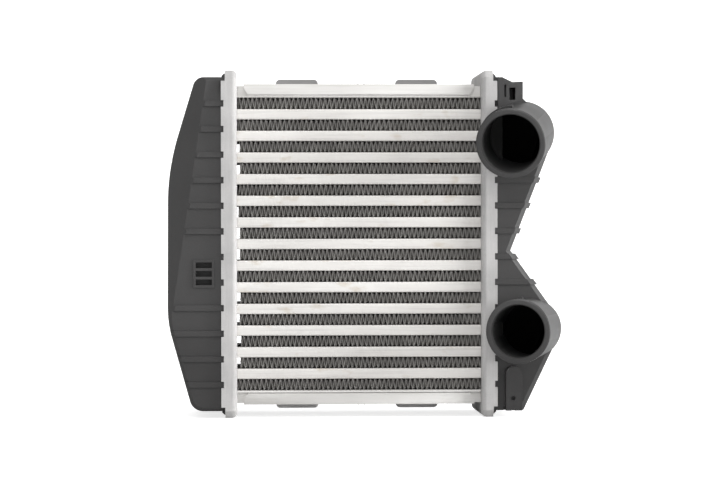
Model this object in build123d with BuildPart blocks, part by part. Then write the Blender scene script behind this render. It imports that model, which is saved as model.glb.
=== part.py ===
from build123d import *
import os
from math import hypot, radians, sqrt, tan

# Charge-air cooler: a brazed aluminium core between two moulded plastic tanks.
# Millimetres. +X is to the right, towards the hose ports, -Y is the front and +Z is up.
# The pieces are modelled about the middle of the core, with z = 0 at the foot of the header
# plates, and the finished assembly is placed with the middle of its footprint at the origin.

# Core
tube_count = 13
tube_height = 6.1
tube_wall = 0.8
tube_corner = 0.9
fin_height = 6.5
fin_waves = 22
fin_sheet = 0.25
core_depth = 64.0
core_width = 142.4
braze_gap = 0.05
tube_projection = 4.0
turbulator_waves = 5
turbulator_sheet = 0.3
end_gap = 0.4
loose_end_gap = 2.3
loose_fin_rows = (3, 4, 7, 8, 10, 11, 12, 13)

# Side plates: channels with two tongues lanced out of the web
channel_sheet = 1.3
channel_bend = 1.2
channel_end_gap = 0.1
channel_height = 7.3
flange_setback = 3.8
flange_corner_drop = 2.0
flange_corner_cut = 3.0
end_bar_length = 7.0
end_bar_height = 4.6
tongue_length = 25.0
tongue_height = 11.0
tongue_spacing = 71.0
tongue_corner = 2.5
nub_size = 0.9
nub_places = (-0.7, 2.9)

# Header plates: trays with a crimped rim
header_end_overhang = 15.85
header_side_overhang = 6.0
header_wall = 9.2
header_sheet = 1.6
header_corner_cut = 4.0
header_bend = 3.0
rim_lip = 1.3
rim_notch_depth = 1.5
rim_notch_width = 3.8
rim_end_relief = 2.3
rim_end_length = 6.2

# Tanks
tank_wall = 2.2
tank_inset = 3.3
tank_end_inset = 3.8
tank_fit = 0.2
foot_thickness = 4.0
foot_pad_gap = 0.4
foot_pad_height = 3.7
foot_pad_chamfer = 1.2
gasket_thickness = 2.0
rib_count = 12
rib_pitch = 14.85
rib_width = 3.2
rib_height = 1.2
short_rib_reach = 0.3

# Return tank: reach from the rim of the header plate at each height
return_reach = 31.1
return_top_reach = 14.8
return_bottom_reach = 16.6
return_upper_shoulder = 144.8
return_lower_shoulder = 55.4
return_top_corner = 6.0
return_bottom_corner = 8.0
return_upper_bend = 133.0
return_lower_bend = 65.0
return_chamfer = 2.0
facet_top = (8.6, 195.6)
facet_low = (21.3, 109.5)
return_short_ribs = (6, 7)
pocket_reach = 5.4
pocket_length = 9.4
pocket_height = 3.4
pocket_pitch = 4.95
pocket_depth = 8.0
pocket_count = 3
pocket_middle = 83.8
pocket_rim = 1.5
pocket_frame_height = 0.8

# Port tank: two chambers that meet at the waist
waist_height = 97.0
waist_reach = 8.1
chamber_chamfer = 2.6
upper_chamber = (14.0, 164.7)
upper_chamber_radius = 18.9
lower_chamber = (19.2, 51.5)
lower_chamber_radius = 17.4
lower_end_reach = 15.6
lower_end_height = 9.4
column_reach = 3.6
port_short_ribs = (0, 1, 2, 8, 9, 10, 11)
partition_thickness = 2.2

# Hose ports
port_reach = 45.0
port_root = 3.2
port_bead_length = 4.0
port_bead_chamfer = 0.5
port_collar_width = 2.2
upper_port_tilt = 13.0
upper_port_drop = 8.5
upper_port_radius = 18.8
upper_bead_radius = 19.9
upper_collar_radius = 20.6
upper_collar_place = 12.0
upper_bore_radius = 16.5
lower_port_tilt = 14.3
lower_port_drop = 0.2
lower_port_radius = 17.4
lower_bead_radius = 18.5
lower_collar_radius = 19.0
lower_collar_place = 18.0
lower_bore_radius = 15.0
header_clearance = 0.6

# Lugs on the port tank
lug_reach = 15.1
lug_height = 9.0
lug_depth = 24.0
lug_stand = 2.0
lug_fall = 2.7
lug_dip = 3.0
lug_dip_reach = 9.1
lug_flare = 2.4
lug_flare_foot = 183.2
lug_crest_fall = 0.4
lug_slot_reach = 8.95
lug_slot_width = 3.5
lug_slot_height = 7.2
lug_slot_top = 192.0
lug_slot_depth = 16.0
lug_groove_reach = 4.8
lug_groove_width = 1.2
lug_groove_top = 193.7
lug_groove_depth = 4.0
lower_lug_reach = (4.8, 14.2)
lower_lug_top = 29.5
lower_lug_arch = 4.2
lower_lug_stand = 4.5
lower_lug_hole = (8.9, 11.0)
lower_lug_hole_radius = 1.3
lower_lug_hole_depth = 3.5
lower_lug_notch = 1.8

# Edges are picked by their place to within this distance
edge_tolerance = 0.01

# Places that follow from the sizes above
tube_pitch = tube_height + fin_height
stack_height = tube_count * tube_height + (tube_count + 1) * fin_height
header_height = stack_height + 2 * header_end_overhang
header_depth = core_depth + 2 * header_side_overhang
middle = header_height / 2
stack_bottom = middle - stack_height / 2
plate_x = core_width / 2
floor_x = plate_x + header_sheet
seat_x = floor_x + gasket_thickness
rim_x = plate_x + header_wall
half_tank = header_depth / 2 - tank_inset
tank_bottom = tank_end_inset
tank_top = header_height - tank_bottom
foot_inset = header_sheet + tank_fit
tube_places = [stack_bottom + fin_height + tube_height / 2 + i * tube_pitch for i in range(tube_count)]
rib_places = [middle + (i - (rib_count - 1) / 2) * rib_pitch for i in range(rib_count)][::-1]

# Side views of the two tanks: x runs outwards from the rim of the header plate, y is up
return_side = Plane(origin=(-rim_x, 0, 0), x_dir=(-1, 0, 0), z_dir=(0, 1, 0))
port_side = Plane(origin=(rim_x, 0, 0), x_dir=(1, 0, 0), z_dir=(0, -1, 0))


# Charge tubes: flat hollow tubes, brazed into a slot in each header plate
def charge_tube(z):
    with BuildPart() as tube:
        with BuildSketch(Plane.YZ.offset(-floor_x - tube_projection)) as section:
            with Locations((0, z)):
                Rectangle(core_depth, tube_height)
            chamfer(section.vertices(), tube_corner)
            with Locations((0, z)):
                Rectangle(core_depth - 2 * tube_wall, tube_height - 2 * tube_wall, mode=Mode.SUBTRACT)
        extrude(amount=2 * (floor_x + tube_projection))
    return tube.part


# A corrugated sheet: the same zigzag line twice, one above the other by the sheet's thickness
def zigzag(start, end, bottom, height, waves, sheet):
    half_wave = (end - start) / (2 * waves)
    slope = hypot(half_wave, height - sheet) / half_wave
    rise = sheet * slope
    lower = [
        (start + i * half_wave, bottom + (height - rise if i % 2 else 0))
        for i in range(2 * waves + 1)
    ]
    upper = [(x, z + rise) for x, z in reversed(lower)]
    return lower + upper


# Air fins: corrugated along the tube, open from front to back
def air_fin(row):
    bottom = stack_bottom + (tube_count + 1 - row) * tube_pitch
    left = -plate_x + (loose_end_gap if row in loose_fin_rows else end_gap)
    with BuildPart() as fin:
        with BuildSketch(Plane.XZ):
            with BuildLine():
                Polyline(
                    *zigzag(left, plate_x - end_gap, bottom, fin_height, fin_waves, fin_sheet),
                    close=True,
                )
            make_face()
        extrude(amount=core_depth / 2, both=True)
    return fin.part


# Turbulators: corrugated across the tube, so that the air runs through them along the tube
def turbulator(z):
    half_depth = core_depth / 2 - tube_wall - end_gap
    inner_height = tube_height - 2 * tube_wall
    with BuildPart() as sheet:
        with BuildSketch(Plane.YZ):
            with BuildLine():
                Polyline(
                    *zigzag(
                        -half_depth,
                        half_depth,
                        z - inner_height / 2,
                        inner_height,
                        turbulator_waves,
                        turbulator_sheet,
                    ),
                    close=True,
                )
            make_face()
        extrude(amount=plate_x, both=True)
    return sheet.part


# Side plate: a channel with its flanges pointing away from the core, set back and cut off at a
# slant at both ends. A bar closes each end of the channel, and two tongues are lanced out of the
# web and bent up at mid-depth.
with BuildPart() as side_plate_top:
    web_z = stack_bottom + stack_height
    flange_top = web_z + channel_height
    with BuildSketch(Plane.YZ):
        with Locations((0, web_z)):
            Rectangle(core_depth, channel_height, align=(Align.CENTER, Align.MIN))
        with Locations((0, web_z + channel_sheet)):
            Rectangle(
                core_depth - 2 * channel_sheet,
                channel_height,
                align=(Align.CENTER, Align.MIN),
                mode=Mode.SUBTRACT,
            )
    extrude(amount=plate_x - channel_end_gap, both=True)
    bends = side_plate_top.edges().filter_by(Axis.X).group_by(Axis.Z)[0]
    fillet(bends, channel_bend)
    tongue_foot = web_z + channel_sheet
    web_end = plate_x - channel_end_gap
    with BuildSketch(Plane.XZ):
        for side in (-1, 1):
            with BuildLine():
                Polyline(
                    (side * plate_x, flange_top + channel_sheet),
                    (side * (web_end - flange_setback), flange_top + channel_sheet),
                    (side * (web_end - flange_setback), flange_top - flange_corner_drop),
                    (side * (web_end - flange_setback - flange_corner_cut), tongue_foot),
                    (side * plate_x, tongue_foot),
                    close=True,
                )
            make_face()
    extrude(amount=core_depth, both=True, mode=Mode.SUBTRACT)
    for side in (-1, 1):
        with Locations((side * (web_end - end_bar_length / 2), 0, tongue_foot)):
            Box(
                end_bar_length,
                core_depth - 2 * channel_sheet,
                end_bar_height,
                align=(Align.CENTER, Align.CENTER, Align.MIN),
            )
    with BuildSketch(Plane.XY.offset(web_z)):
        with GridLocations(tongue_spacing, 0, 2, 1):
            with Locations((0, tongue_height / 2)):
                Rectangle(tongue_length, tongue_height - channel_sheet)
    extrude(amount=channel_sheet, mode=Mode.SUBTRACT)
    with BuildSketch(Plane.XZ.offset(-channel_sheet / 2)):
        with GridLocations(tongue_spacing, 0, 2, 1):
            with Locations((0, tongue_foot)):
                Rectangle(tongue_length, tongue_height, align=(Align.CENTER, Align.MIN))
    extrude(amount=channel_sheet)
    tips = side_plate_top.edges().filter_by(Axis.Y).group_by(Axis.Z)[-1]
    fillet(tips, tongue_corner)
    with Locations(*[(x, (channel_sheet - core_depth) / 2, flange_top) for x in nub_places]):
        Box(nub_size, channel_sheet, nub_size)

with BuildPart() as side_plate_bottom:
    mirror(side_plate_top.part, about=Plane.XY.offset(middle))


# Outline of the tray, or of what fills it, with the corners cut off. inset is the distance from
# the outside of the tray.
def tray_outline(x, inset):
    with BuildSketch(Plane.YZ.offset(x)) as outline:
        with Locations((0, middle)):
            Rectangle(header_depth - 2 * inset, header_height - 2 * inset)
        chamfer(outline.vertices(), header_corner_cut - inset * (2 - sqrt(2)))
    return outline.sketch


# Header plate: a pressed tray with rounded bends and a slot for each tube. The rim of its
# front and back walls is crimped over the foot of the tank, with a notch for each rib.
with BuildPart() as header_plate_right:
    extrude(tray_outline(plate_x, 0), amount=header_wall)
    fillet(header_plate_right.faces().sort_by(Axis.X)[0].edges(), header_bend)
    extrude(
        tray_outline(floor_x, header_sheet),
        amount=header_wall - 2 * header_sheet,
        mode=Mode.SUBTRACT,
    )
    lip_inset = header_sheet + rim_lip
    with BuildSketch(Plane.YZ.offset(rim_x - header_sheet)):
        with Locations((0, middle)):
            Rectangle(header_depth - 2 * lip_inset, header_height - 2 * header_sheet)
    extrude(amount=header_sheet, mode=Mode.SUBTRACT)
    with Locations(*[(rim_x, 0, z) for z in rib_places]):
        Box(2 * rim_notch_depth, header_depth, rim_notch_width, mode=Mode.SUBTRACT)
    with Locations((rim_x, 0, 0), (rim_x, 0, header_height)):
        Box(2 * rim_end_relief, header_depth, 2 * rim_end_length, mode=Mode.SUBTRACT)
    with BuildSketch(Plane.YZ.offset(plate_x)) as slots:
        with Locations(*[(0, z) for z in tube_places]):
            Rectangle(core_depth + 2 * braze_gap, tube_height + 2 * braze_gap)
        chamfer(slots.vertices(), tube_corner)
    extrude(amount=header_sheet, mode=Mode.SUBTRACT)

with BuildPart() as header_plate_left:
    mirror(header_plate_right.part, about=Plane.YZ)


# Gaskets: rings in the troughs of the header plates. The one of the port tank has a bar
# across it, which seals the foot of the partition between the two chambers.
gasket_inner_depth = 2 * (half_tank - tank_wall)
gasket_inner_height = tank_top - tank_bottom - 2 * tank_wall
partition_z = middle - tube_pitch / 2
with BuildPart() as tank_gasket_left:
    extrude(tray_outline(-seat_x, foot_inset), amount=gasket_thickness)
    with Locations((-seat_x, 0, middle)):
        Box(2 * gasket_thickness, gasket_inner_depth, gasket_inner_height, mode=Mode.SUBTRACT)

with BuildPart() as tank_gasket_right:
    mirror(tank_gasket_left.part, about=Plane.YZ)
    with Locations((floor_x + gasket_thickness / 2, 0, partition_z)):
        Box(gasket_thickness, gasket_inner_depth, partition_thickness)


# Foot of a tank: a flange that fills the trough of the header plate, with a pad at each end that
# fills the relief in the rim. It is the same on both tanks.
def tank_foot():
    pad_reach = rim_x - foot_pad_gap - seat_x
    pad_depth = header_depth - 2 * (foot_inset + header_corner_cut)
    with BuildPart() as pads:
        with Locations((seat_x, 0, middle)):
            Box(
                pad_reach,
                pad_depth,
                header_height - 2 * foot_inset,
                align=(Align.MIN, Align.CENTER, Align.CENTER),
            )
        chamfer(pads.edges().filter_by(Axis.Y).group_by(Axis.X)[-1], foot_pad_chamfer)
        with Locations((seat_x, 0, middle)):
            Box(
                pad_reach,
                pad_depth,
                header_height - 2 * (foot_inset + foot_pad_height),
                align=(Align.MIN, Align.CENTER, Align.CENTER),
                mode=Mode.SUBTRACT,
            )
    with BuildPart() as foot:
        extrude(tray_outline(seat_x, foot_inset), amount=foot_thickness)
        add(pads.part)
    return foot.part


# Room inside the foot, from one height to another, open towards the core
def foot_room(low, high, reach):
    with BuildPart() as room:
        with Locations((seat_x, 0, (low + high) / 2)):
            Box(
                rim_x - seat_x + reach,
                gasket_inner_depth,
                high - low,
                align=(Align.MIN, Align.CENTER, Align.CENTER),
            )
    return room.part


# Return tank: a bowed bowl with a slanted facet along the outer edge of its front and back.
# grow moves every outer face, so that the same form gives the bowl and the room inside it.
def return_form(half_depth, grow):
    with BuildPart() as form:
        with BuildSketch(return_side):
            with BuildLine():
                path = FilletPolyline(
                    (seat_x - rim_x, tank_bottom),
                    (return_bottom_reach, tank_bottom),
                    (return_reach, return_lower_shoulder),
                    (return_reach, return_upper_shoulder),
                    (return_top_reach, tank_top),
                    (seat_x - rim_x, tank_top),
                    radius=(
                        return_bottom_corner,
                        return_lower_bend,
                        return_upper_bend,
                        return_top_corner,
                    ),
                )
                Line(path @ 1, path @ 0)
            make_face()
            if grow:
                offset(amount=grow)
        extrude(amount=half_depth, both=True)
        if not grow:
            rims = form.edges().filter_by(lambda e: abs(e.center().Y) > half_depth - edge_tolerance)
            rims = rims.filter_by(lambda e: e.center().X < -seat_x - edge_tolerance)
            chamfer(rims, return_chamfer)
        for side in (-1, 1):
            top = Vector(-rim_x - facet_top[0], side * half_tank, facet_top[1])
            along = Vector(facet_top[0] - facet_low[0], 0, facet_low[1] - facet_top[1])
            facing = along.cross(Vector(-1, side, 0)).cross(along)
            facet = Plane(origin=top, x_dir=along, z_dir=facing)
            split(bisect_by=facet.offset(grow), keep=Keep.BOTTOM)
    return form.part


with BuildPart() as return_ribs:
    with Locations(*[(-rim_x, 0, z) for i, z in enumerate(rib_places) if i not in return_short_ribs]):
        Box(
            return_reach + rim_notch_depth,
            header_depth,
            rib_width,
            align=(Align.MAX, Align.CENTER, Align.CENTER),
        )
    with Locations(*[(-rim_x, 0, rib_places[i]) for i in return_short_ribs]):
        Box(2 * short_rib_reach, header_depth, rib_width)
    with Locations(*[(-rim_x, 0, z) for z in rib_places]):
        Box(
            rim_notch_depth,
            header_depth,
            rib_width,
            align=(Align.MIN, Align.CENTER, Align.CENTER),
        )
    add(return_form(half_tank + rib_height, 0), mode=Mode.INTERSECT)

with BuildPart() as return_tank:
    add(return_form(half_tank, 0))
    add(return_ribs.part)
    mirror(tank_foot(), about=Plane.YZ)
    add(return_form(half_tank - tank_wall, -tank_wall), mode=Mode.SUBTRACT)
    room = foot_room(tank_bottom + tank_wall, tank_top - tank_wall, tank_wall)
    mirror(room, about=Plane.YZ, mode=Mode.SUBTRACT)
    boss_reach = pocket_reach + pocket_length / 2
    boss_height = pocket_count * pocket_pitch + pocket_rim
    with BuildSketch(Plane.XZ.offset(half_tank + pocket_frame_height)):
        with Locations((-rim_x - boss_reach, pocket_middle)):
            Rectangle(pocket_length + 2 * pocket_rim, boss_height)
    extrude(amount=-pocket_depth - pocket_rim - pocket_frame_height)
    with BuildSketch(Plane.XZ.offset(half_tank + pocket_frame_height)):
        with Locations((-rim_x - boss_reach, pocket_middle)):
            with GridLocations(0, pocket_pitch, 1, pocket_count):
                Rectangle(pocket_length, pocket_height)
    extrude(amount=-pocket_depth - pocket_frame_height, mode=Mode.SUBTRACT)


# Port tank: two chambers side by side along the header plate. In side view each is the hull of
# its round end, which stands behind the hose port, and of strips along the header plate.
def chamber(centre, radius, strips, half_depth, grow):
    with BuildPart() as form:
        with BuildSketch(port_side):
            with Locations(centre):
                Circle(radius)
            for low, high, reach in strips:
                with Locations((seat_x - rim_x, low)):
                    Rectangle(reach + rim_x - seat_x, high - low, align=(Align.MIN, Align.MIN))
            make_hull()
            if grow:
                offset(amount=grow, kind=Kind.INTERSECTION)
        extrude(amount=half_depth, both=True)
        if grow >= 0:
            rims = form.edges().filter_by(lambda e: abs(e.center().Y) > half_depth - edge_tolerance)
            rims = rims.filter_by(lambda e: e.center().X > seat_x + edge_tolerance)
            rims = rims.filter_by(lambda e: abs(e.center().Z - waist_height) > grow + edge_tolerance)
            chamfer(rims, chamber_chamfer + grow * (2 - sqrt(2)))
    return form.part


upper_strips = [(waist_height, upper_chamber[1] + upper_chamber_radius, waist_reach)]
lower_strips = [
    (tank_bottom, waist_height, waist_reach),
    (tank_bottom, lower_end_height, lower_end_reach),
]


def both_chambers(half_depth, grow):
    with BuildPart() as form:
        add(chamber(upper_chamber, upper_chamber_radius, upper_strips, half_depth, grow))
        add(chamber(lower_chamber, lower_chamber_radius, lower_strips, half_depth, grow))
    return form.part


# Hose port: a round spigot with a bead at its mouth, leaning towards the core and downwards,
# and a collar round its left half, which stops the hose. Its place is the point where its axis
# meets the front of the tank, and it ends just inside.
port_end = Plane.XZ.offset(half_tank - port_root)


def port_mouth(centre, tilt, drop):
    foot = Vector(rim_x + centre[0], -half_tank, centre[1])
    lean = Vector(-tan(radians(tilt)), -1, -tan(radians(drop)))
    level = Vector(0, 0, 1).cross(lean)
    return Plane(origin=foot + lean * port_reach, x_dir=level, z_dir=lean), lean.length


# The space that the header plate takes, which a port that overhangs it stays clear of
def header_space(margin):
    with BuildPart() as space:
        with Locations((rim_x + margin, -header_depth / 2 - margin, middle)):
            Box(
                header_depth,
                header_depth,
                2 * header_height,
                align=(Align.MAX, Align.MIN, Align.CENTER),
            )
    return space.part


def hose_port(centre, tilt, drop, radius, bead_radius, collar_radius, collar_place):
    mouth, stretch = port_mouth(centre, tilt, drop)
    with BuildPart() as port:
        with BuildSketch(mouth):
            Circle(radius)
        extrude(amount=-(port_reach + radius) * stretch)
        split(bisect_by=port_end, keep=Keep.TOP)
        with BuildSketch(mouth):
            Circle(bead_radius)
        extrude(amount=-port_bead_length)
        rims = port.edges().filter_by(GeomType.CIRCLE).group_by(SortBy.RADIUS)[-1]
        chamfer(rims, port_bead_chamfer)
        with BuildSketch(mouth.offset(-collar_place)):
            Circle(collar_radius)
            Rectangle(
                collar_radius,
                2 * collar_radius,
                align=(Align.MAX, Align.CENTER),
                mode=Mode.INTERSECT,
            )
        extrude(amount=-port_collar_width)
        add(header_space(header_clearance), mode=Mode.SUBTRACT)
    return port.part


def port_bore(centre, tilt, drop, radius):
    mouth, stretch = port_mouth(centre, tilt, drop)
    with BuildPart() as bore:
        with BuildSketch(mouth):
            Circle(radius)
        extrude(amount=-(port_reach + radius) * stretch)
        split(bisect_by=port_end, keep=Keep.TOP)
        add(header_space(header_clearance + tank_wall), mode=Mode.SUBTRACT)
    return bore.part


with BuildPart() as port_ribs:
    with Locations(*[(rim_x, 0, z) for i, z in enumerate(rib_places) if i not in port_short_ribs]):
        Box(
            header_depth,
            header_depth,
            rib_width,
            align=(Align.MIN, Align.CENTER, Align.CENTER),
        )
    with Locations(*[(rim_x, 0, rib_places[i]) for i in port_short_ribs]):
        Box(2 * short_rib_reach, header_depth, rib_width)
    with Locations(*[(rim_x, 0, z) for z in rib_places]):
        Box(
            rim_notch_depth,
            header_depth,
            rib_width,
            align=(Align.MAX, Align.CENTER, Align.CENTER),
        )
    add(both_chambers(half_tank + rib_height, rib_height), mode=Mode.INTERSECT)

with BuildPart() as port_tank:
    add(both_chambers(half_tank, 0))
    add(port_ribs.part)
    add(tank_foot())
    with BuildSketch(port_side):
        with Locations((seat_x - rim_x, middle)):
            Rectangle(
                column_reach + rim_x - seat_x,
                tank_top - tank_bottom,
                align=(Align.MIN, Align.CENTER),
            )
    extrude(amount=half_tank, both=True)
    with BuildSketch(port_side.offset(half_tank + lug_stand)):
        lug_root = upper_chamber[1] + upper_chamber_radius - lug_height
        with BuildLine():
            Polyline(
                (header_clearance, lug_root),
                (lug_reach + lug_flare, lug_root),
                (lug_reach + lug_flare, lug_flare_foot),
                (lug_reach, lug_flare_foot + lug_flare),
                (lug_reach, tank_top - lug_fall),
                (lug_dip_reach, tank_top - lug_dip),
                (column_reach, tank_top - lug_crest_fall),
                (header_clearance, tank_top),
                close=True,
            )
        make_face()
    extrude(amount=-lug_depth)
    with BuildSketch(port_side.offset(half_tank + lower_lug_stand)) as lug_face:
        with Locations((lower_lug_reach[0], tank_bottom)):
            Rectangle(
                lower_lug_reach[1] - lower_lug_reach[0],
                lower_lug_top - tank_bottom,
                align=(Align.MIN, Align.MIN),
            )
        fillet(lug_face.vertices().group_by(Axis.Y)[-1], lower_lug_arch)
    extrude(amount=-lower_lug_stand - tank_wall)
    upper_lean = (upper_chamber, upper_port_tilt, upper_port_drop)
    lower_lean = (lower_chamber, lower_port_tilt, lower_port_drop)
    upper_collar = (upper_collar_radius, upper_collar_place)
    lower_collar = (lower_collar_radius, lower_collar_place)
    add(hose_port(*upper_lean, upper_port_radius, upper_bead_radius, *upper_collar))
    add(hose_port(*lower_lean, lower_port_radius, lower_bead_radius, *lower_collar))
    add(both_chambers(half_tank - tank_wall, -tank_wall), mode=Mode.SUBTRACT)
    half_partition = partition_thickness / 2
    add(
        foot_room(tank_bottom + tank_wall, partition_z - half_partition, column_reach - tank_wall),
        mode=Mode.SUBTRACT,
    )
    add(
        foot_room(partition_z + half_partition, tank_top - tank_wall, column_reach - tank_wall),
        mode=Mode.SUBTRACT,
    )
    add(port_bore(*upper_lean, upper_bore_radius), mode=Mode.SUBTRACT)
    add(port_bore(*lower_lean, lower_bore_radius), mode=Mode.SUBTRACT)
    with BuildSketch(port_side.offset(half_tank + lug_stand)):
        with Locations((lug_slot_reach, lug_slot_top)):
            Rectangle(lug_slot_width, lug_slot_height, align=(Align.CENTER, Align.MAX))
    extrude(amount=-lug_slot_depth, mode=Mode.SUBTRACT)
    with BuildSketch(port_side.offset(half_tank + lug_stand)):
        with Locations((lug_groove_reach, lug_groove_top)):
            Rectangle(lug_groove_width, lug_slot_height, align=(Align.CENTER, Align.MAX))
    extrude(amount=-lug_groove_depth, mode=Mode.SUBTRACT)
    with BuildSketch(port_side.offset(half_tank + lower_lug_stand)):
        with Locations(lower_lug_hole):
            Circle(lower_lug_hole_radius)
        with Locations((lower_lug_hole[0], tank_bottom)):
            Rectangle(lower_lug_notch, lower_lug_notch)
    extrude(amount=-lower_lug_hole_depth, mode=Mode.SUBTRACT)


# The assembly, placed with the middle of its footprint at the origin
pieces = {
    "header_plate_left": header_plate_left.part,
    "header_plate_right": header_plate_right.part,
    "return_tank": return_tank.part,
    "port_tank": port_tank.part,
    "tank_gasket_left": tank_gasket_left.part,
    "tank_gasket_right": tank_gasket_right.part,
    "side_plate_top": side_plate_top.part,
    "side_plate_bottom": side_plate_bottom.part,
}
for i, z in enumerate(reversed(tube_places), start=1):
    pieces[f"charge_tube_{i:02d}"] = charge_tube(z)
    pieces[f"turbulator_{i:02d}"] = turbulator(z)
for row in range(1, tube_count + 2):
    pieces[f"air_fin_{row:02d}"] = air_fin(row)

bounds = Compound(list(pieces.values())).bounding_box()
to_origin = Location((-bounds.center().X, -bounds.center().Y, -bounds.min.Z))
print("moved by", to_origin.position)
os.makedirs("parts", exist_ok=True)
for name, piece in pieces.items():
    placed = piece.moved(to_origin)
    placed.label = name
    export_step(placed, f"parts/{name}.step")
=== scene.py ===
import bmesh
import bpy
from math import atan2, cos, exp, hypot, radians, sin
from mathutils import Matrix, Vector, noise


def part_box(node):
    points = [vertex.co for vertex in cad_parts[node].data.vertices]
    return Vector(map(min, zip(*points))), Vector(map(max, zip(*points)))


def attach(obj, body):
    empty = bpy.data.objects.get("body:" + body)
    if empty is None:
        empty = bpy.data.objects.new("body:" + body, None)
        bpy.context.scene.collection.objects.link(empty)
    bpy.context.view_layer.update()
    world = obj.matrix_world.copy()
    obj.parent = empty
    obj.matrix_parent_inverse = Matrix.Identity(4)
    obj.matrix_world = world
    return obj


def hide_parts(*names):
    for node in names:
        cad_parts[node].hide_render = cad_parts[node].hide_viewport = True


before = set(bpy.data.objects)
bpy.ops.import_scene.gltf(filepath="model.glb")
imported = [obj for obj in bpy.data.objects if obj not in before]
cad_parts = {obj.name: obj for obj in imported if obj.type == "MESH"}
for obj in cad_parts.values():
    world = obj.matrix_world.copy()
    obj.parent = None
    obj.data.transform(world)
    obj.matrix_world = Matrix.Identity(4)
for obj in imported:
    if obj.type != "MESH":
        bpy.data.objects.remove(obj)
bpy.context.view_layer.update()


# The camera of the catalogue picture: a long lens far in front of the cooler, almost level with its
# middle and a little to the left of it, so that the right header plate shows its inner face.
left_low, left_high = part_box("header_plate_left")
right_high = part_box("header_plate_right")[1]
mid_x = (left_low.x + right_high.x) / 2
mid_y = (left_low.y + left_high.y) / 2
mid_z = (left_low.z + left_high.z) / 2
lens_to_left = 0.0726
lens_in_front = 1.666
lens_above_floor = 0.1089
lens_length = 140.21
film_width = 36
lens_turn = (radians(89.813), radians(0.1), radians(-2.562))

camera = bpy.data.cameras.new("catalogue_camera")
camera.lens = lens_length
camera.sensor_width = film_width
camera_object = bpy.data.objects.new("catalogue_camera", camera)
camera_object.location = (mid_x - lens_to_left, mid_y - lens_in_front, lens_above_floor)
camera_object.rotation_euler = lens_turn
bpy.context.scene.collection.objects.link(camera_object)
bpy.context.scene.camera = camera_object
bpy.context.scene.view_settings.view_transform = "Standard"


# Studio light: a large soft box to the right of the cooler, which the round ports catch, a small
# one below it, a weaker one above the camera, one overhead, and a pale room all round. The room
# is white to the camera, a little darker where the metal mirrors it, and a weak lamp.
def soft_box(name, place, width, height, watts):
    light = bpy.data.lights.new(name, "AREA")
    light.shape = "RECTANGLE"
    light.size = width
    light.size_y = height
    light.energy = watts
    box = bpy.data.objects.new(name, light)
    box.location = place
    towards_core = Vector((mid_x, mid_y, mid_z)) - box.location
    box.rotation_euler = towards_core.to_track_quat("-Z", "Y").to_euler()
    bpy.context.scene.collection.objects.link(box)


soft_box("box_right", (1.7, -0.5, 0.35), width=0.7, height=1.1, watts=50)
soft_box("box_low", (1.25, -0.15, 0.15), width=0.5, height=0.25, watts=4)
soft_box("box_front", (-0.3, -1.9, 1.2), width=1.0, height=1.0, watts=10)
soft_box("box_top", (0.1, -0.8, 1.4), width=1.2, height=0.9, watts=8)

white = (1, 1, 1)
strength_as_lamp = 0.42
strength_seen = 1.0
mirrored_share = 0.6

room = bpy.data.worlds.new("pale_room")
bpy.context.scene.world = room
room.use_nodes = True
tree = room.node_tree
light_path = tree.nodes.new("ShaderNodeLightPath")
seen_share = tree.nodes.new("ShaderNodeMath")
seen_share.operation = "MULTIPLY_ADD"
seen_share.inputs[1].default_value = mirrored_share
tree.links.new(light_path.outputs["Is Glossy Ray"], seen_share.inputs[0])
tree.links.new(light_path.outputs["Is Camera Ray"], seen_share.inputs[2])
room_strength = tree.nodes.new("ShaderNodeMapRange")
room_strength.inputs["To Min"].default_value = strength_as_lamp
room_strength.inputs["To Max"].default_value = strength_seen
tree.links.new(seen_share.outputs[0], room_strength.inputs["Value"])
tree.links.new(room_strength.outputs["Result"], tree.nodes["Background"].inputs["Strength"])
tree.nodes["Background"].inputs["Color"].default_value = (*white, 1)


# The studio floor: a pale sheet of paper that curves up into the backdrop. To the camera it
# glows a little, so that it comes out white, and it keeps the soft shadow of the cooler.
paper_half_width = 4
paper_front = -2.5
paper_length = 4.5
backdrop_height = 3
gap_under_cooler = 0.0003
sweep_radius = 1.2
sweep_steps = 24
paper_grey = 0.8
paper_roughness = 0.9
paper_glow = 0.75

paper = bmesh.new()
near_ends = [(x, paper_front, -gap_under_cooler) for x in (-paper_half_width, paper_half_width)]
sweep = [paper.edges.new([paper.verts.new(end) for end in near_ends])]
for step in ((0, paper_length, 0), (0, 0, backdrop_height)):
    swept = bmesh.ops.extrude_edge_only(paper, edges=sweep)["geom"]
    sweep = [item for item in swept if isinstance(item, bmesh.types.BMEdge)]
    moved = [item for item in swept if isinstance(item, bmesh.types.BMVert)]
    bmesh.ops.translate(paper, verts=moved, vec=step)
crease = [edge for edge in paper.edges if len(edge.link_faces) == 2]
bmesh.ops.bevel(paper, geom=crease, offset=sweep_radius, offset_type="OFFSET", segments=sweep_steps,
                profile=0.5, affect="EDGES", clamp_overlap=True, material=-1)
bmesh.ops.recalc_face_normals(paper, faces=paper.faces)
paper_mesh = bpy.data.meshes.new("studio_floor")
paper.to_mesh(paper_mesh)
paper.free()
paper_mesh.shade_smooth()
floor = bpy.data.objects.new("studio_floor", paper_mesh)
bpy.context.scene.collection.objects.link(floor)

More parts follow.
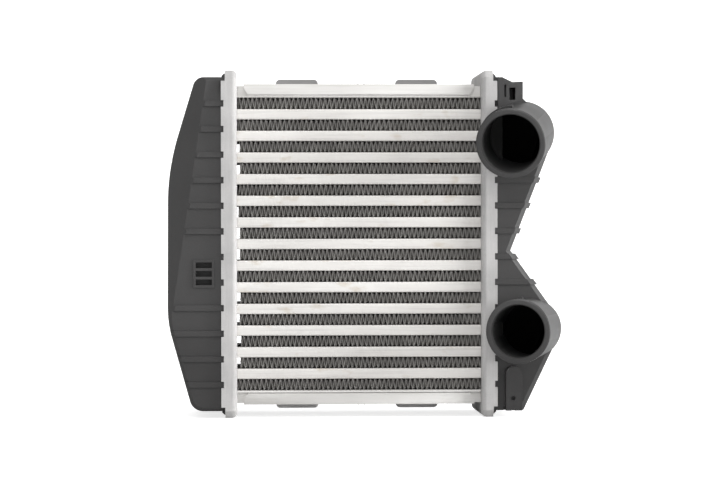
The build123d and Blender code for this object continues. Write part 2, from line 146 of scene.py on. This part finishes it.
paper_white = bpy.data.materials.new("paper_white")
paper_white.use_nodes = True
tree = paper_white.node_tree
surface = tree.nodes["Principled BSDF"]
surface.inputs["Base Color"].default_value = (paper_grey, paper_grey, paper_grey, 1)
surface.inputs["Roughness"].default_value = paper_roughness
surface.inputs["Specular IOR Level"].default_value = 0
surface.inputs["Emission Color"].default_value = (*white, 1)
light_path = tree.nodes.new("ShaderNodeLightPath")
glow = tree.nodes.new("ShaderNodeMath")
glow.operation = "MULTIPLY"
glow.inputs[1].default_value = paper_glow
tree.links.new(light_path.outputs["Is Camera Ray"], glow.inputs[0])
tree.links.new(glow.outputs[0], surface.inputs["Emission Strength"])
paper_mesh.materials.append(paper_white)


# Header plates: deep-drawn aluminium trays, brazed to the ends of the tubes, in the form that
# the CAD model gives them. The metal is left as the furnace leaves it: a matt pale grey with a
# fine grain and faint vertical drawing marks.
def new_finish(name, metallic):
    finish = bpy.data.materials.new(name)
    finish.use_nodes = True
    shader = finish.node_tree.nodes["Principled BSDF"]
    shader.inputs["Metallic"].default_value = metallic
    return finish


def grain(finish, scale, detail, stretch=(1, 1, 1)):
    tree = finish.node_tree
    coordinates = tree.nodes.get("Object places") or tree.nodes.new("ShaderNodeTexCoord")
    coordinates.name = "Object places"
    stretched = tree.nodes.new("ShaderNodeMapping")
    stretched.inputs["Scale"].default_value = stretch
    speckle = tree.nodes.new("ShaderNodeTexNoise")
    speckle.inputs["Scale"].default_value = scale
    speckle.inputs["Detail"].default_value = detail
    tree.links.new(coordinates.outputs["Object"], stretched.inputs["Vector"])
    tree.links.new(stretched.outputs["Vector"], speckle.inputs["Vector"])
    return speckle.outputs["Fac"]


def grey(level):
    return (level, level, level)


def tinted(finish, amount, start, end, colours, under=None):
    tree = finish.node_tree
    ramp = tree.nodes.new("ShaderNodeValToRGB")
    ramp.color_ramp.elements[0].position = start
    ramp.color_ramp.elements[1].position = end
    ramp.color_ramp.elements[0].color = (*colours[0], 1)
    ramp.color_ramp.elements[1].color = (*colours[1], 1)
    tree.links.new(amount, ramp.inputs["Fac"])
    if under is None:
        return ramp.outputs["Color"]
    laid = tree.nodes.new("ShaderNodeMix")
    laid.data_type = "RGBA"
    laid.blend_type = "MULTIPLY"
    laid.inputs["Factor"].default_value = 1
    tree.links.new(under, laid.inputs["A"])
    tree.links.new(ramp.outputs["Color"], laid.inputs["B"])
    return laid.outputs["Result"]


def coloured(finish, colour):
    finish.node_tree.links.new(colour, finish.node_tree.nodes["Principled BSDF"].inputs["Base Color"])


grain_low = 0.3
grain_high = 0.7


def roughened(finish, amount, least, most):
    tree = finish.node_tree
    spread = tree.nodes.new("ShaderNodeMapRange")
    spread.inputs["From Min"].default_value = grain_low
    spread.inputs["From Max"].default_value = grain_high
    spread.inputs["To Min"].default_value = least
    spread.inputs["To Max"].default_value = most
    tree.links.new(amount, spread.inputs["Value"])
    tree.links.new(spread.outputs["Result"], tree.nodes["Principled BSDF"].inputs["Roughness"])


def embossed(finish, amount, strength, depth, over=None):
    tree = finish.node_tree
    relief = tree.nodes.new("ShaderNodeBump")
    relief.inputs["Strength"].default_value = strength
    relief.inputs["Distance"].default_value = depth
    tree.links.new(amount, relief.inputs["Height"])
    if over is not None:
        tree.links.new(over, relief.inputs["Normal"])
    tree.links.new(relief.outputs["Normal"], tree.nodes["Principled BSDF"].inputs["Normal"])
    return relief.outputs["Normal"]


header_greys = ((0.45, 0.444, 0.441), (0.55, 0.542, 0.537))

header_finish = new_finish("drawn_aluminium", metallic=0.3)
header_clouds = grain(header_finish, scale=60, detail=4)
header_marks = grain(header_finish, scale=900, detail=3, stretch=(1, 1, 0.06))
header_speckle = grain(header_finish, scale=2600, detail=2)
header_colour = tinted(header_finish, header_clouds, start=0.35, end=0.65, colours=header_greys)
header_colour = tinted(header_finish, header_marks, start=0.3, end=0.7, colours=(grey(0.93), white),
                       under=header_colour)
header_colour = tinted(header_finish, header_speckle, start=0.3, end=0.55, colours=(grey(0.88), white),
                       under=header_colour)
coloured(header_finish, header_colour)
roughened(header_finish, header_clouds, least=0.7, most=0.84)
header_relief = embossed(header_finish, header_marks, strength=0.25, depth=0.0001)
embossed(header_finish, header_speckle, strength=0.3, depth=0.00008, over=header_relief)


def refinish(node, finish):
    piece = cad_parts[node]
    piece.data.materials.clear()
    piece.data.materials.append(finish)


for node in ("header_plate_left", "header_plate_right"):
    refinish(node, header_finish)


# Side plates: folded aluminium channels with a bar in each end, brazed over the first and the
# last fin, with a fine joint line along the flanges. They are the brightest metal on the core,
# rolled along their length. The tongues lanced out of them are rougher, and painted shade
# darkens their colour with height, most of all on the top plate.
def height_above_floor(finish):
    tree = finish.node_tree
    parts = tree.nodes.new("ShaderNodeSeparateXYZ")
    tree.links.new(tree.nodes["Object places"].outputs["Object"], parts.inputs["Vector"])
    return parts.outputs["Z"]


side_greys = ((0.575, 0.563, 0.546), (0.66, 0.65, 0.634))
side_line_grey = (0.93, 0.93, 0.92)
tongue_greys = ((0.78, 0.77, 0.77), (0.93, 0.92, 0.92))
# Painted shade on the tongues: full colour up to the lower height, darkened to about a third by the upper
# one.
tongue_shade_start = 0.03
tongue_shade_full = 0.15
tongue_painted_shade = (white, grey(0.31))

side_finish = new_finish("rolled_aluminium", metallic=0.3)
side_clouds = grain(side_finish, scale=45, detail=4, stretch=(0.4, 1, 1))
side_lines = grain(side_finish, scale=700, detail=2, stretch=(0.04, 1, 1))
side_colour = tinted(side_finish, side_clouds, start=0.3, end=0.6, colours=side_greys)
side_colour = tinted(side_finish, side_lines, start=0.3, end=0.6, colours=(side_line_grey, white),
                     under=side_colour)
coloured(side_finish, side_colour)
roughened(side_finish, side_clouds, least=0.5, most=0.64)
embossed(side_finish, side_lines, strength=0.2, depth=0.0001)

tongue_finish = new_finish("dull_aluminium_painted_shade", metallic=0.3)
tongue_clouds = grain(tongue_finish, scale=60, detail=4)
tongue_shade_height = height_above_floor(tongue_finish)
tongue_colour = tinted(tongue_finish, tongue_clouds, start=0.3, end=0.65, colours=tongue_greys)
# Painted shade: the tongue colour darkens with height above the floor.
tongue_colour = tinted(tongue_finish, tongue_shade_height, start=tongue_shade_start, end=tongue_shade_full,
                       colours=tongue_painted_shade, under=tongue_colour)
coloured(tongue_finish, tongue_colour)
roughened(tongue_finish, tongue_clouds, least=0.62, most=0.78)
embossed(tongue_finish, tongue_clouds, strength=0.2, depth=0.0001)

same_corner = 0.000002
same_plane = radians(0.5)


def merged_copy(node):
    copy = bmesh.new()
    copy.from_mesh(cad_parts[node].data)
    bmesh.ops.remove_doubles(copy, verts=copy.verts, dist=same_corner)
    bmesh.ops.dissolve_limit(copy, angle_limit=same_plane, verts=copy.verts, edges=copy.edges)
    return copy


def new_piece(name, form, finishes, slot, *nodes, sharp=35):
    mesh = bpy.data.meshes.new(name)
    form.to_mesh(mesh)
    form.free()
    for finish in finishes:
        mesh.materials.append(finish)
    mesh.shade_smooth()
    mesh.set_sharp_from_angle(angle=radians(sharp))
    piece = bpy.data.objects.new(name, mesh)
    bpy.context.scene.collection.objects.link(piece)
    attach(piece, "root")
    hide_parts(*nodes)


tongue_rise = 0.011
tongue_start = 0.0012
flange_rise = 0.006
nub_reach = 0.0005
bar_rise = 0.0046
bend_radius = 0.00018
joint_rise = 0.00012
joint_width = 0.0005
joint_depth = 0.0009
joint_slope = 0.00003

# The limits by which levels, bends and the outer skin are told from the rest.
same_level = 0.00002
bend_angle = radians(60)
shortest_bend = 0.0015
skin_reach = 0.0001
squarely = 0.99
cut_reach = 0.000001

for node, outward, flange_stretch, bar_stretch in (
        ("side_plate_top", 1, 0.0007, 0.00105),
        ("side_plate_bottom", -1, 0.001, 0.00155)):
    low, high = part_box(node)
    tip = high.z if outward > 0 else low.z
    foot = tip - outward * tongue_rise
    channel = merged_copy(node)
    for corner in channel.verts:
        rise = (corner.co.z - foot) * outward
        if abs(rise - bar_rise) < same_level:
            corner.co.z += outward * bar_stretch
        elif flange_rise - same_level < rise < flange_rise + nub_reach:
            corner.co.z += outward * flange_stretch
    bends = [edge for edge in channel.edges if len(edge.link_faces) == 2
             and edge.calc_face_angle() > bend_angle and edge.calc_length() > shortest_bend]
    bmesh.ops.bevel(channel, geom=bends, offset=bend_radius, offset_type="OFFSET", segments=2,
                    profile=0.5, affect="EDGES", clamp_overlap=True, material=-1)
    for rise in (joint_rise, joint_rise + joint_width):
        bmesh.ops.bisect_plane(channel, geom=[*channel.verts, *channel.edges, *channel.faces],
                               dist=cut_reach, plane_co=(0, 0, foot + outward * rise), plane_no=(0, 0, 1))
    joint = []
    for face in channel.faces:
        middle = face.calc_center_median()
        on_skin = abs(face.normal.y) > squarely and min(middle.y - low.y, high.y - middle.y) < skin_reach
        if on_skin and joint_rise < (middle.z - foot) * outward < joint_rise + joint_width:
            joint.append(face)
    bmesh.ops.inset_region(channel, faces=joint, thickness=joint_slope, depth=-joint_depth,
                           use_even_offset=True)
    for face in channel.faces:
        if (face.calc_center_median().z - foot) * outward > flange_rise + tongue_start:
            face.material_index = 1
    new_piece(f"{node}_channel", channel, (side_finish, tongue_finish), "side_plate_aluminium", node,
              sharp=30)


# Charge tubes: flat extruded aluminium tubes with rounded noses, slipped through both header
# plates and brazed there. Handling leaves fine scratches and the flux leaves warm stains.
tube_greys = ((0.625, 0.607, 0.583), (0.715, 0.7, 0.676))
flux_stain = (0.86, 0.82, 0.76)

tube_finish = new_finish("tube_aluminium", metallic=0.3)
tube_clouds = grain(tube_finish, scale=70, detail=4, stretch=(0.35, 1, 1))
tube_stains = grain(tube_finish, scale=160, detail=3, stretch=(0.5, 1, 1))
tube_lines = grain(tube_finish, scale=900, detail=2, stretch=(0.03, 1, 1))
tube_colour = tinted(tube_finish, tube_clouds, start=0.3, end=0.65, colours=tube_greys)
tube_colour = tinted(tube_finish, tube_stains, start=0.26, end=0.38, colours=(flux_stain, white),
                     under=tube_colour)
tube_colour = tinted(tube_finish, tube_lines, start=0.3, end=0.5, colours=(grey(0.9), white),
                     under=tube_colour)
coloured(tube_finish, tube_colour)
roughened(tube_finish, tube_clouds, least=0.5, most=0.66)
embossed(tube_finish, tube_lines, strength=0.25, depth=0.0001)

tube_count = 13
tube_wall = 0.0008
nose_radius = 0.0007
whole_length = 0.9
on_edge = 0.00001


def block(form, middle, turned, size):
    shape = Matrix.Translation(middle) @ turned @ Matrix.Diagonal((*size, 1))
    bmesh.ops.create_cube(form, size=1, matrix=shape)


for number in range(1, tube_count + 1):
    node = f"charge_tube_{number:02d}"
    low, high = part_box(node)
    size = high - low
    tube = bmesh.new()
    block(tube, (low + high) / 2, Matrix(), size)
    ends = [face for face in tube.faces if abs(face.normal.x) > squarely]
    bmesh.ops.inset_region(tube, faces=ends, thickness=tube_wall, use_even_offset=True)
    bmesh.ops.bridge_loops(tube, edges=[edge for face in ends for edge in face.edges])
    bmesh.ops.delete(tube, geom=ends, context="FACES_ONLY")
    noses = [edge for edge in tube.edges if edge.calc_length() > size.x * whole_length
             and abs(edge.verts[0].co.y - (low.y + high.y) / 2) > size.y / 2 - on_edge]
    bmesh.ops.bevel(tube, geom=noses, offset=nose_radius, offset_type="OFFSET", segments=5,
                    profile=0.5, affect="EDGES", clamp_overlap=True, material=-1)
    bmesh.ops.recalc_face_normals(tube, faces=tube.faces)
    new_piece(f"tube_{number:02d}", tube, (tube_finish,), "tube_aluminium", node)


# Turbulators: thin corrugated aluminium sheets brazed inside the tubes, which stir the charge
# air. Only their ends could ever be seen, from inside the tanks.
turbulator_greys = ((0.5, 0.5, 0.49), (0.62, 0.62, 0.61))

turbulator_finish = new_finish("turbulator_aluminium", metallic=0.7)
turbulator_clouds = grain(turbulator_finish, scale=300, detail=3)
turbulator_colour = tinted(turbulator_finish, turbulator_clouds, start=0.3, end=0.7,
                           colours=turbulator_greys)
coloured(turbulator_finish, turbulator_colour)
roughened(turbulator_finish, turbulator_clouds, least=0.4, most=0.6)
embossed(turbulator_finish, turbulator_clouds, strength=0.2, depth=0.0001)
for number in range(1, tube_count + 1):
    refinish(f"turbulator_{number:02d}", turbulator_finish)


# Air fins: thin aluminium strip, folded to and fro and brazed between the tubes. Each leg has a
# plain frame round two banks of louvres, turned opposite ways. Many rows end short of the left
# header plate with a straight cut leg, and the others are pressed against it.
fin_greys = ((0.36, 0.349, 0.335), (0.472, 0.46, 0.444))
fin_speck = (0.8, 0.79, 0.78)

fin_finish = new_finish("fin_aluminium", metallic=0.3)
fin_clouds = grain(fin_finish, scale=120, detail=4)
fin_speckle = grain(fin_finish, scale=1800, detail=2)
fin_colour = tinted(fin_finish, fin_clouds, start=0.3, end=0.7, colours=fin_greys)
fin_colour = tinted(fin_finish, fin_speckle, start=0.3, end=0.6, colours=(fin_speck, white),
                    under=fin_colour)
coloured(fin_finish, fin_colour)
roughened(fin_finish, fin_clouds, least=0.42, most=0.6)
embossed(fin_finish, fin_speckle, strength=0.2, depth=0.00005)

fin_rows = 14
wave_count = 54
sheet = 0.00013
fold_width = 0.0005
frame_width = 0.0014
louvre_count = 22
louvre_turn = radians(33)
louvre_share = 0.8
slat_share = 0.96

# How the folding wanders. Seen from above, each row bows to the right at mid-depth, less so over
# its last waves, and is uneven everywhere but at its ends. Rows 5 and 9 stand back at the front
# on the left. Where a row is pressed against the left header, two waves share the room of one.
bow = 0.0028
end_share = 1 / 12
unevenness = 0.0009
bends_along = 90
bends_up = 0.8
row_shift = 7.3
pressed_waves = 2
row_gaps = {3: 0.0017, 4: 0.0019, 6: 0.001, 7: 0.0018, 8: 0.0018, 10: 0.0021, 11: 0.0016,
            12: 0.0025, 13: 0.0021}
row_skews = {5: 0.0034, 9: 0.0012}
skew_length = 0.02


def louvred_wave(left, front, bottom, pitch, depth, height):
    wave = bmesh.new()
    lean = atan2(pitch / 2, height)
    leg = hypot(pitch / 2, height) - sheet
    bank = (depth - 3 * frame_width) / 2
    louvre_pitch = 2 * bank / louvre_count
    rim = leg * (1 - louvre_share) / 2
    slat = (sheet, louvre_pitch * slat_share, leg * louvre_share)
    for side in (0, 1):
        middle = Vector((left + pitch * (0.25 + side / 2), front, bottom + height / 2))
        turned = Matrix.Rotation(lean if side == 0 else -lean, 4, "Y")
        for start in (0, (depth - frame_width) / 2, depth - frame_width):
            upright = middle + Vector((0, start + frame_width / 2, 0))
            block(wave, upright, turned, (sheet, frame_width, leg))
        for bank_middle in (frame_width + bank / 2, 2 * frame_width + bank * 1.5):
            for end in (-1, 1):
                shift = turned @ Vector((0, 0, end * (leg - rim) / 2))
                block(wave, middle + Vector((0, bank_middle, 0)) + shift, turned, (sheet, bank, rim))
        for number in range(louvre_count):
            rear = number >= louvre_count / 2
            place = frame_width * (2 if rear else 1) + (number + 0.5) * louvre_pitch
            twist = turned @ Matrix.Rotation(-louvre_turn if rear else louvre_turn, 4, "Z")
            block(wave, middle + Vector((0, place, 0)), twist, slat)
        fold = Vector((left + pitch * (0.5 if side == 0 else 1), front + depth / 2, 0))
        fold.z = bottom + height - sheet / 2 if side == 0 else bottom + sheet / 2
        for half in (-1, 1):
            block(wave, fold + Vector((0, half * depth / 4, 0)), Matrix(), (fold_width, depth / 2, sheet))
    return wave


def repeated(wave, count, pitch):
    mesh = bpy.data.meshes.new("wave")
    wave.to_mesh(mesh)
    wave.free()
    single = bpy.data.objects.new("wave", mesh)
    bpy.context.scene.collection.objects.link(single)
    repeat = single.modifiers.new("repeat", "ARRAY")
    repeat.count = count
    repeat.use_relative_offset = False
    repeat.use_constant_offset = True
    repeat.constant_offset_displace = (pitch, 0, 0)
    shown = single.evaluated_get(bpy.context.evaluated_depsgraph_get())
    row_mesh = bpy.data.meshes.new_from_object(shown)
    bpy.data.objects.remove(single)
    row_form = bmesh.new()
    row_form.from_mesh(row_mesh)
    bpy.data.meshes.remove(row_mesh)
    return row_form


def cut_leg(fin, low, high):
    middle = (low + high) / 2
    half_leg = (sheet, (high.y - low.y) / 2, high.z - low.z - 2 * sheet)
    for half in (-1, 1):
        place = Vector((low.x + sheet / 2, middle.y + half * (high.y - low.y) / 4, middle.z))
        block(fin, place, Matrix(), half_leg)


core_left = left_high.x
for row in range(1, fin_rows + 1):
    node = f"air_fin_{row:02d}"
    low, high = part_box(node)
    pressed = row not in row_gaps
    low.x = core_left + row_gaps.get(row, 0)
    length = high.x - low.x
    pitch = length / wave_count
    first = low.x - pitch if pressed else low.x
    wave = louvred_wave(first, low.y, low.z, pitch, high.y - low.y, high.z - low.z)
    fin = repeated(wave, wave_count + pressed, pitch)
    if not pressed:
        cut_leg(fin, low, high)
    for corner in fin.verts:
        place = corner.co.x
        back = (corner.co.y - low.y) / (high.y - low.y)
        up = (corner.co.z - low.z) / (high.z - low.z)
        to_right = min(1, (high.x - place) / length / end_share)
        held = max(0, min(1, (place - low.x) / length / end_share, to_right))
        wander = noise.noise(Vector((corner.co.x * bends_along, up * bends_up, row * row_shift)))
        place += held * wander * unevenness
        place += to_right * bow * (1 - abs(2 * back - 1))
        place += row_skews.get(row, 0) * max(0, 1 - 2 * back) * exp(-(corner.co.x - first) / skew_length)
        if pressed and place < low.x + pitch:
            waves_in = (place - low.x) / pitch
            place = low.x + pitch * (exp(waves_in - 1) - exp(-pressed_waves)) / (1 - exp(-pressed_waves))
        corner.co.x = place
    new_piece(f"fin_{row:02d}", fin, (fin_finish,), "fin_aluminium", node)


# Tank gaskets: black rubber rings pressed into the troughs of the header plates by the feet of
# the tanks. They are hidden once the rims are crimped.
gasket_blacks = (grey(0.012), grey(0.022))

gasket_finish = new_finish("gasket_rubber", metallic=0)
gasket_clouds = grain(gasket_finish, scale=500, detail=3)
gasket_colour = tinted(gasket_finish, gasket_clouds, start=0.3, end=0.7, colours=gasket_blacks)
coloured(gasket_finish, gasket_colour)
roughened(gasket_finish, gasket_clouds, least=0.7, most=0.9)
embossed(gasket_finish, gasket_clouds, strength=0.2, depth=0.0001)
for node in ("tank_gasket_left", "tank_gasket_right"):
    refinish(node, gasket_finish)


# Return tank: one injection moulding in black glass-filled nylon, closed at the left. Its foot
# is clamped by the crimped rim of the header plate. The skin has a fine even grain, and painted
# shade makes it a little darker towards the floor.
nylon_blacks = ((0.033, 0.0322, 0.0322), (0.043, 0.0417, 0.0417))
# Painted shade on both tanks: about a third darker near the floor, full colour from the upper height up.
nylon_painted_shade = ((0.66, 0.65, 0.65), white)
painted_shade_below = 0.03
painted_shade_clear_above = 0.06

tank_finish = new_finish("moulded_nylon", metallic=0)
tank_clouds = grain(tank_finish, scale=25, detail=3)
tank_speckle = grain(tank_finish, scale=1500, detail=3)
tank_shade_height = height_above_floor(tank_finish)
tank_colour = tinted(tank_finish, tank_clouds, start=0.3, end=0.7, colours=nylon_blacks)
tank_colour = tinted(tank_finish, tank_speckle, start=0.3, end=0.6, colours=(grey(0.85), white),
                     under=tank_colour)
# Painted shade: the nylon darkens towards the floor.
tank_colour = tinted(tank_finish, tank_shade_height, start=painted_shade_below, end=painted_shade_clear_above, colours=nylon_painted_shade,
                     under=tank_colour)
coloured(tank_finish, tank_colour)
roughened(tank_finish, tank_clouds, least=0.34, most=0.44)
embossed(tank_finish, tank_speckle, strength=0.25, depth=0.00008)

moulded_radius = 0.0003
moulded_angle = radians(25)
shortest_rounded = 0.003
smallest_rounded = 0.000008
tank_sharp = 14


def soften(tank):
    edges = [edge for edge in tank.edges if len(edge.link_faces) == 2 and edge.is_convex
             and edge.calc_length() > shortest_rounded and edge.calc_face_angle() > moulded_angle
             and min(face.calc_area() for face in edge.link_faces) > smallest_rounded]
    bmesh.ops.bevel(tank, geom=edges, offset=moulded_radius, offset_type="OFFSET", segments=3,
                    profile=0.5, affect="EDGES", clamp_overlap=True, material=-1)


return_tank = merged_copy("return_tank")
soften(return_tank)
new_piece("return_tank_moulding", return_tank, (tank_finish,), "tank_plastic", "return_tank",
          sharp=tank_sharp)


# Port tank: the second moulding, on the right, with two chambers, each with a hose port that
# leans forwards and to the left, and the lugs that hold the cooler. Its mouths have rounded
# lips, and its inner walls get a slightly darker, less shiny black: painted shade for the bores.
# Painted shade for the bores: the inner walls get a slightly darker, less shiny black.
bore_shade_blacks = (grey(0.031), (0.039, 0.0385, 0.038))
bore_shade_shine = 0.15

bore_shade_finish = new_finish("bore_shade_nylon", metallic=0)
bore_shade_finish.node_tree.nodes["Principled BSDF"].inputs["Specular IOR Level"].default_value = bore_shade_shine
bore_shade_clouds = grain(bore_shade_finish, scale=90, detail=3)
bore_shade_colour = tinted(bore_shade_finish, bore_shade_clouds, start=0.3, end=0.7, colours=bore_shade_blacks)
coloured(bore_shade_finish, bore_shade_colour)
roughened(bore_shade_finish, bore_shade_clouds, least=0.6, most=0.8)
embossed(bore_shade_finish, bore_shade_clouds, strength=0.15, depth=0.0002)

upper_port_lean = (radians(13.0), radians(8.5))
lower_port_lean = (radians(14.3), radians(0.2))
lip_radius = 0.0006

# The limits by which the mouths, the inner walls and the foot are told from the rest.
facing_out = 0.9995
mouth_reach = 0.0002
inward = -0.001
facing_left = -0.9
foot_reach = 0.0005


def way_out(to_left, down):
    return Vector((-sin(to_left) * cos(down), -cos(to_left) * cos(down), -sin(down)))


def mouth_of(tank, outward):
    facing = [face for face in tank.faces if face.normal.dot(outward) > facing_out]
    front = max(face.calc_center_median().dot(outward) for face in facing)
    return [face for face in facing if face.calc_center_median().dot(outward) > front - mouth_reach]


def middle_of(mouth):
    corners = dict.fromkeys(corner for face in mouth for corner in face.verts)
    return sum((corner.co for corner in corners), Vector()) / len(corners)


def is_foot(face, foot):
    return face.normal.x < facing_left and abs(face.calc_center_median().x - foot) < foot_reach


# The painted shade spreads from the mouths to every face of the inner walls, as far as the foot.
def paint_shade_inside(mouths, middles, foot):
    reached = {face for mouth in mouths for face in mouth}
    waiting = []
    for mouth, middle in zip(mouths, middles):
        waiting.extend(face for rim in mouth for edge in rim.edges for face in edge.link_faces
                       if face.normal.dot(face.calc_center_median() - middle) < inward)
    while waiting:
        face = waiting.pop()
        if face in reached or is_foot(face, foot):
            continue
        reached.add(face)
        face.material_index = 1
        waiting.extend(other for edge in face.edges for other in edge.link_faces)


port_tank = merged_copy("port_tank")
soften(port_tank)
mouths = [mouth_of(port_tank, way_out(*lean)) for lean in (upper_port_lean, lower_port_lean)]
middles = [middle_of(mouth) for mouth in mouths]
paint_shade_inside(mouths, middles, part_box("tank_gasket_right")[1].x)
lips = [edge for mouth in mouths for face in mouth for edge in face.edges
        if any(other not in mouth for other in edge.link_faces)]
rounded = bmesh.ops.bevel(port_tank, geom=lips, offset=lip_radius, offset_type="OFFSET", segments=3,
                          profile=0.5, affect="EDGES", clamp_overlap=True, material=-1)
for face in rounded["faces"]:
    place = face.calc_center_median()
    middle = min(middles, key=lambda mouth_middle: (place - mouth_middle).length)
    face.material_index = 1 if face.normal.dot(place - middle) < 0 else 0
new_piece("port_tank_moulding", port_tank, (tank_finish, bore_shade_finish), "tank_plastic", "port_tank",
          sharp=tank_sharp)
